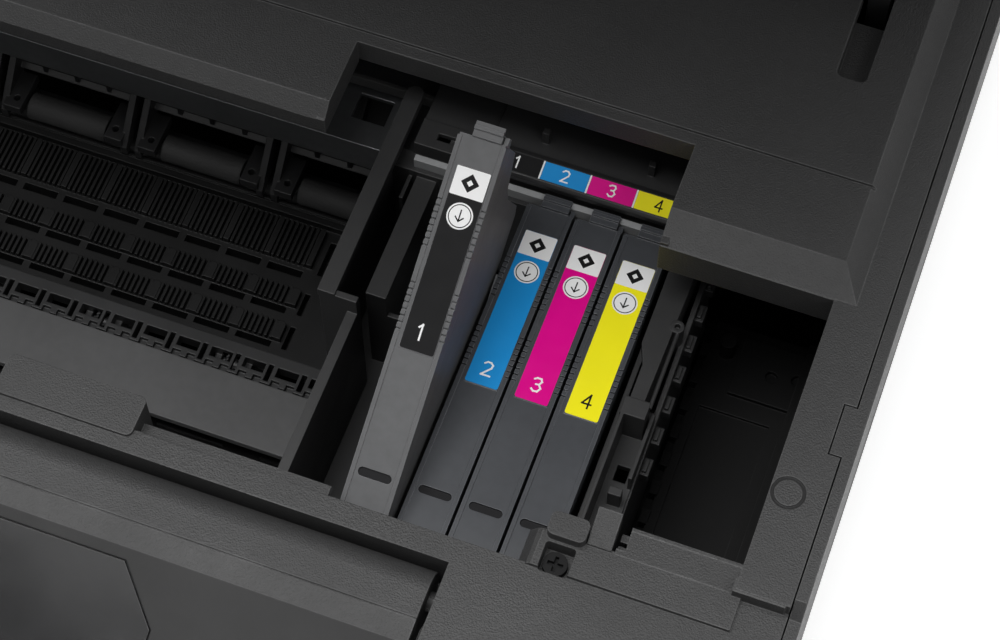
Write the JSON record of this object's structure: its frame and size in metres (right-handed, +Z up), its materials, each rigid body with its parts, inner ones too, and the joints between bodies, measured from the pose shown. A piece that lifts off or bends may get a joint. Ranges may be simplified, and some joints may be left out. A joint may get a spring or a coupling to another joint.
{
  "type": "inkjet printer",
  "caption": "Home all-in-one inkjet printer with its scanner unit raised, carriage at the ink change position, a front cassette and a tilting control panel.",
  "frame": {"origin": "point on the table under the middle of the printer, halfway between its sides and halfway from the tip of the control panel to the back of the rear cover", "axes": "+X to the printer's right seen from its front, +Y to its rear, +Z up"},
  "size_m": [0.375, 0.3734, 0.4089],
  "materials": {
    "absorber": "felt",
    "board": "circuit board",
    "brass": "turned",
    "cart_black": "satin grey, black label",
    "cart_cyan": "satin dark body, cyan label",
    "cart_magenta": "satin dark body, magenta label",
    "cart_yellow": "satin dark body, yellow label",
    "case_plastic": "fine grained charcoal",
    "dark_plastic": "smooth black",
    "display_gloss": "polished",
    "film": "translucent film",
    "gear_plastic": "natural acetal",
    "glass": "float glass",
    "head_grey": "satin",
    "hook_grey": "satin light grey",
    "inner_plastic": "smooth dark grey",
    "key_plastic": "satin",
    "motor_steel": "drawn can",
    "roller": "ceramic coated",
    "rubber": "matt",
    "steel": "zinc coated",
    "white_pad": "white sheet"
  },
  "bodies": {
    "base": {"bottom_case": "case_plastic", "top_housing": "case_plastic", "left_side_cover": "case_plastic", "right_side_cover": "case_plastic", "rubber_feet": "rubber", "main_frame": "steel", "platen": "inner_plastic", "ink_absorber": "absorber", "pinch_roller_holders": "dark_plastic", "star_wheel_holder": "dark_plastic", "exit_guide": "inner_plastic", "feed_motor": "motor_steel", "roller_bushings": "gear_plastic", "carriage_motor": "motor_steel", "timing_belt": "rubber", "encoder_strip": "film", "maintenance_station": "dark_plastic", "main_board": "board", "power_supply": "inner_plastic", "power_inlet": "dark_plastic", "housing_screws": "steel"},
    "rear_access_cover": {"rear_cover": "case_plastic"},
    "feed_roller_shaft": {"feed_roller": "roller", "feed_gear": "gear_plastic"},
    "pinch_roller_row": {"pinch_rollers": "rubber"},
    "idler": {"idler_gear": "gear_plastic"},
    "eject_shaft": {"eject_roller": "rubber"},
    "star_wheel_row": {"star_wheels": "steel"},
    "feed_motor_pinion": {"motor_pinion": "brass"},
    "drive_pulley": {"motor_pulley": "brass"},
    "tension_pulley": {"idler_pulley": "gear_plastic"},
    "caps": {"cap_unit": "rubber"},
    "cassette": {"paper_cassette": "dark_plastic"},
    "left_guide": {"left_edge_guide": "inner_plastic"},
    "right_guide": {"right_edge_guide": "inner_plastic"},
    "guide_gear": {"guide_pinion": "inner_plastic"},
    "tray": {"output_tray": "dark_plastic"},
    "stop_flap": {"tray_stop": "dark_plastic"},
    "carriage": {"carriage_shell": "inner_plastic", "print_head": "head_grey", "label_bar": "dark_plastic", "cartridge_latches": "hook_grey"},
    "black": {"black_cartridge": "cart_black"},
    "cyan": {"cyan_cartridge": "cart_cyan"},
    "magenta": {"magenta_cartridge": "cart_magenta"},
    "yellow": {"yellow_cartridge": "cart_yellow"},
    "control_panel": {"panel_shell": "case_plastic", "display": "display_gloss"},
    "power_key": {"power_button": "key_plastic"},
    "home_key": {"home_button": "key_plastic"},
    "arrow_key": {"arrow_pad": "key_plastic"},
    "ok_key": {"ok_button": "key_plastic"},
    "start_key": {"start_button": "key_plastic"},
    "scanner_unit": {"scanner_base": "case_plastic", "scanner_top_frame": "dark_plastic", "scanner_glass": "glass", "scanner_stay": "dark_plastic"},
    "scan_carriage": {"scan_bar": "dark_plastic"},
    "lid": {"document_lid": "case_plastic", "lid_pad": "white_pad"}
  },
  "joints": [
    {"name": "rear_cover_pull", "type": "slide", "parent": "base", "child": "rear_access_cover", "axis": [0, 1, 0], "range_m": [0, 0.03]},
    {"name": "feed_roller_spin", "type": "hinge", "parent": "base", "child": "feed_roller_shaft", "pos_m": [0, -0.0026, 0.05], "axis": [1, 0, 0], "continuous": true},
    {"name": "pinch_roller_spin", "type": "hinge", "parent": "base", "child": "pinch_roller_row", "pos_m": [0, -0.0056, 0.0597], "axis": [1, 0, 0], "continuous": true},
    {"name": "idler_spin", "type": "hinge", "parent": "base", "child": "idler", "pos_m": [0, -0.03229, 0.02964], "axis": [1, 0, 0], "continuous": true},
    {"name": "eject_roller_spin", "type": "hinge", "parent": "base", "child": "eject_shaft", "pos_m": [0, -0.058, 0.05], "axis": [1, 0, 0], "continuous": true},
    {"name": "star_wheel_spin", "type": "hinge", "parent": "base", "child": "star_wheel_row", "pos_m": [0, -0.058, 0.06], "axis": [1, 0, 0], "continuous": true},
    {"name": "feed_motor_spin", "type": "hinge", "parent": "base", "child": "feed_motor_pinion", "pos_m": [0, 0.0122, 0.02437], "axis": [1, 0, 0], "continuous": true},
    {"name": "carriage_travel", "type": "slide", "parent": "base", "child": "carriage", "axis": [1, 0, 0], "range_m": [-0.23, 0.028]},
    {"name": "drive_pulley_spin", "type": "hinge", "parent": "base", "child": "drive_pulley", "pos_m": [0.16, 0.009, 0], "axis": [0, 0, 1], "range_deg": [-2800, 2800]},
    {"name": "tension_pulley_spin", "type": "hinge", "parent": "base", "child": "tension_pulley", "pos_m": [-0.16, 0.009, 0], "axis": [0, 0, 1], "range_deg": [-2800, 2800]},
    {"name": "cap_lift", "type": "slide", "parent": "base", "child": "caps", "axis": [0, 0, 1], "range_m": [0, 0.0045]},
    {"name": "cassette_pull", "type": "slide", "parent": "base", "child": "cassette", "axis": [0, -1, 0], "range_m": [0, 0.18]},
    {"name": "left_guide_slide", "type": "slide", "parent": "cassette", "child": "left_guide", "axis": [1, 0, 0], "range_m": [0, 0.055]},
    {"name": "right_guide_slide", "type": "slide", "parent": "cassette", "child": "right_guide", "axis": [-1, 0, 0], "range_m": [0, 0.055]},
    {"name": "guide_gear_spin", "type": "hinge", "parent": "cassette", "child": "guide_gear", "pos_m": [0, -0.02, 0.008], "axis": [0, 0, 1], "range_deg": [0, 526.21]},
    {"name": "output_tray_pull", "type": "slide", "parent": "base", "child": "tray", "axis": [0, -1, 0], "range_m": [0, 0.075]},
    {"name": "tray_stop_flip", "type": "hinge", "parent": "tray", "child": "stop_flap", "pos_m": [0, -0.1355, 0.0454], "axis": [-1, 0, 0], "range_deg": [0, 90]},
    {"name": "cyan_lift", "type": "hinge", "parent": "carriage", "child": "cyan", "pos_m": [0, -0.1183, 0.105], "axis": [-1, 0, 0], "range_deg": [-26.2, 0]},
    {"name": "magenta_lift", "type": "hinge", "parent": "carriage", "child": "magenta", "pos_m": [0, -0.1183, 0.105], "axis": [-1, 0, 0], "range_deg": [-26.2, 0]},
    {"name": "yellow_lift", "type": "hinge", "parent": "carriage", "child": "yellow", "pos_m": [0, -0.1183, 0.105], "axis": [-1, 0, 0], "range_deg": [-26.2, 0]},
    {"name": "black_lift", "type": "hinge", "parent": "carriage", "child": "black", "pos_m": [0, -0.1183, 0.105], "axis": [-1, 0, 0], "range_deg": [0, 26.2]},
    {"name": "panel_tilt", "type": "hinge", "parent": "base", "child": "control_panel", "pos_m": [0, -0.1225, 0.1232], "axis": [1, 0, 0], "range_deg": [0, 50]},
    {"name": "power_press", "type": "slide", "parent": "control_panel", "child": "power_key", "axis": [0, 0.342, -0.9397], "range_m": [0, 0.0007], "stiffness_N_per_m": 300},
    {"name": "home_press", "type": "slide", "parent": "control_panel", "child": "home_key", "axis": [0, 0.342, -0.9397], "range_m": [0, 0.0007], "stiffness_N_per_m": 300},
    {"name": "arrow_press", "type": "slide", "parent": "control_panel", "child": "arrow_key", "axis": [0, 0.342, -0.9397], "range_m": [0, 0.0007], "stiffness_N_per_m": 300},
    {"name": "start_press", "type": "slide", "parent": "control_panel", "child": "start_key", "axis": [0, 0.342, -0.9397], "range_m": [0, 0.0007], "stiffness_N_per_m": 300},
    {"name": "ok_press", "type": "slide", "parent": "control_panel", "child": "ok_key", "axis": [0, 0.342, -0.9397], "range_m": [0, 0.0007], "stiffness_N_per_m": 300},
    {"name": "scanner_hinge", "type": "hinge", "parent": "base", "child": "scanner_unit", "pos_m": [0, 0.16, 0.146], "axis": [1, 0, 0], "range_deg": [0, 50]},
    {"name": "scan_travel", "type": "slide", "parent": "scanner_unit", "child": "scan_carriage", "axis": [1, 0, 0], "range_m": [0, 0.32]},
    {"name": "lid_hinge", "type": "hinge", "parent": "scanner_unit", "child": "lid", "pos_m": [0, 0.17395, 0.17076], "axis": [1, 0, 0], "range_deg": [-75, 0]}
  ],
  "couplings": [
    {"joint": "pinch_roller_spin", "follows": "feed_roller_spin", "ratio": -1.8571},
    {"joint": "idler_spin", "follows": "feed_roller_spin", "ratio": -2},
    {"joint": "eject_roller_spin", "follows": "feed_roller_spin", "ratio": 1.1538},
    {"joint": "star_wheel_spin", "follows": "feed_roller_spin", "ratio": -1.6154},
    {"joint": "feed_motor_spin", "follows": "feed_roller_spin", "ratio": -4.2857},
    {"joint": "drive_pulley_spin", "follows": "carriage_travel", "rad_per_m": 178.57},
    {"joint": "tension_pulley_spin", "follows": "carriage_travel", "rad_per_m": 178.57},
    {"joint": "right_guide_slide", "follows": "left_guide_slide", "ratio": 1},
    {"joint": "guide_gear_spin", "follows": "left_guide_slide", "rad_per_m": 166.67},
    {"joint": "black_lift", "follows": "scanner_hinge", "ratio": 0.524}
  ]
}
